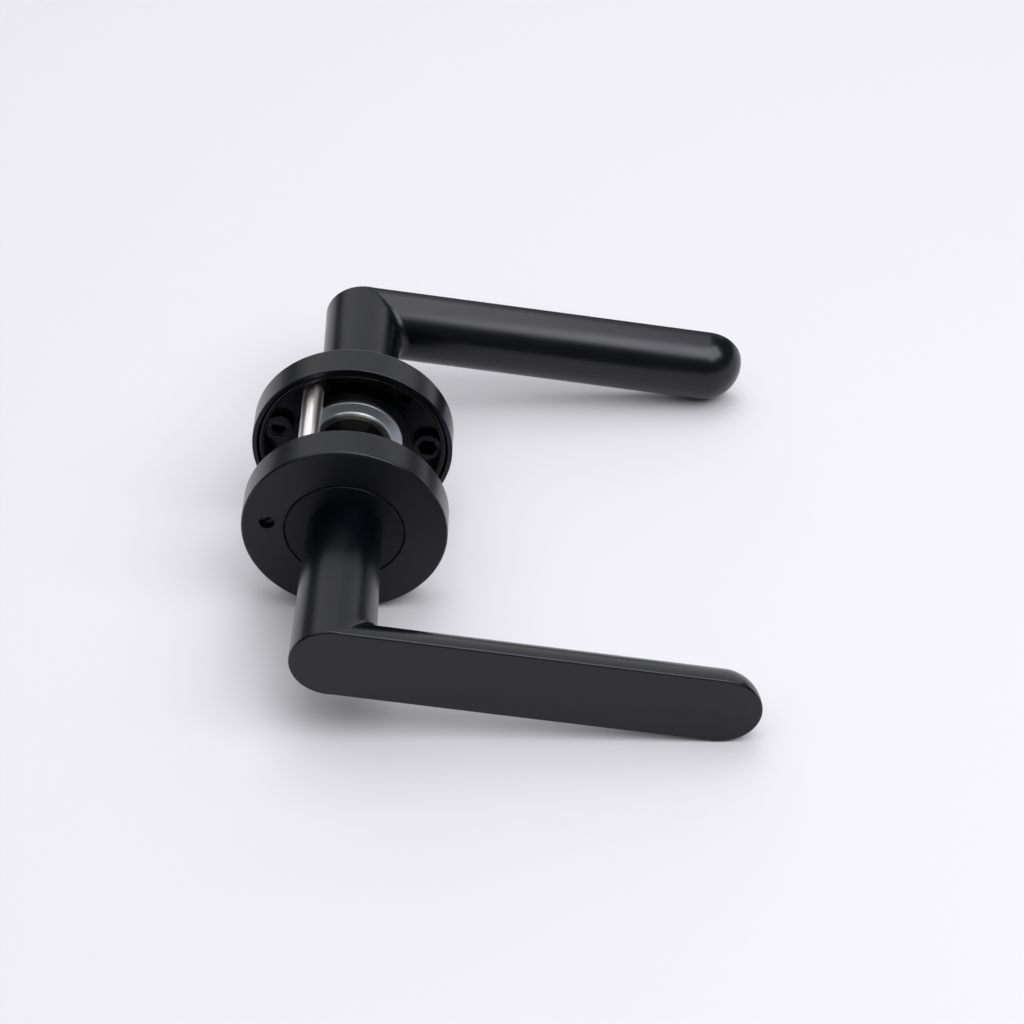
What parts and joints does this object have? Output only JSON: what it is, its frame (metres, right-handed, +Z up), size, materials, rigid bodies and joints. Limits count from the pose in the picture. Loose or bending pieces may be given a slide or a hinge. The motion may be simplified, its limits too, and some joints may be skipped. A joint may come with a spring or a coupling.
{
  "type": "lever handle lockset",
  "caption": "Sprung lever handle lockset with half-round flat-faced levers on slim round roses, square spindle, through bolts and privacy button.",
  "frame": {"origin": "on the spindle axis, midway between the two rose backs as closed up", "axes": "+X along both levers towards their tips, +Y along the spindle from the outside half to the inside half, +Z up as installed"},
  "size_m": [0.1357, 0.142, 0.054],
  "materials": {
    "lever_black": "satin powder coat, matt black",
    "rose_black": "satin powder coat, matt black",
    "collar_black": "satin powder coat, matt black",
    "sub_rose_black": "black passivated zinc casting, low sheen",
    "bush_nylon": "black nylon",
    "spring_steel": "drawn spring wire",
    "zinc_washer": "bright zinc plate",
    "circlip_steel": "zinc plated spring steel",
    "grub_black": "black oxide",
    "spindle_steel": "yellow zinc passivated bar",
    "post_nickel": "bright nickel plate",
    "screw_steel": "zinc plated",
    "pin_steel": "zinc plated"
  },
  "bodies": {
    "outside_half": {"outside_rose_cover": "rose_black", "outside_sub_rose": "sub_rose_black", "outside_bearing_bush": "bush_nylon", "outside_return_spring": "spring_steel", "bolt_posts": "post_nickel"},
    "outside_lever_set": {"outside_lever": "lever_black", "outside_drive_collar": "collar_black", "outside_thrust_washer": "zinc_washer", "outside_circlip": "circlip_steel", "outside_grub_screw": "grub_black", "spindle": "spindle_steel"},
    "release_pin": {"emergency_release_pin": "pin_steel"},
    "inside_half": {"inside_rose_cover": "rose_black", "inside_sub_rose": "sub_rose_black", "inside_bearing_bush": "bush_nylon", "inside_return_spring": "spring_steel", "bolt_screws": "screw_steel", "privacy_button_spring": "spring_steel"},
    "inside_lever_set": {"inside_lever": "lever_black", "inside_drive_collar": "collar_black", "inside_thrust_washer": "zinc_washer", "inside_circlip": "circlip_steel", "inside_grub_screw": "grub_black"},
    "button": {"privacy_button": "rose_black"}
  },
  "joints": [
    {"name": "outside_lever_turn", "type": "hinge", "parent": "outside_half", "child": "outside_lever_set", "pos_m": [0, 0, 0], "axis": [0, 1, 0], "range_deg": [-45, 45], "stiffness_Nm_per_rad": 1.5, "springref_deg": -3.04, "deforming": ["outside_return_spring"]},
    {"name": "inside_lever_turn", "type": "hinge", "parent": "inside_half", "child": "inside_lever_set", "pos_m": [0, 0, 0], "axis": [0, 1, 0], "range_deg": [-45, 45], "stiffness_Nm_per_rad": 1.5, "springref_deg": -3.04, "deforming": ["inside_return_spring"]},
    {"name": "door_thickness_slide", "type": "slide", "parent": "outside_half", "child": "inside_half", "axis": [0, 1, 0], "range_m": [0, 0.0102]},
    {"name": "release_pin_push", "type": "slide", "parent": "outside_half", "child": "release_pin", "axis": [0, 1, 0], "range_m": [0, 0.0009]},
    {"name": "privacy_button_press", "type": "slide", "parent": "inside_half", "child": "button", "axis": [0, -1, 0], "range_m": [0, 0.0009], "stiffness_N_per_m": 300, "springref_m": -0.001, "deforming": ["privacy_button_spring"]}
  ],
  "couplings": [
    {"joint": "inside_lever_turn", "follows": "outside_lever_turn", "ratio": 1}
  ]
}
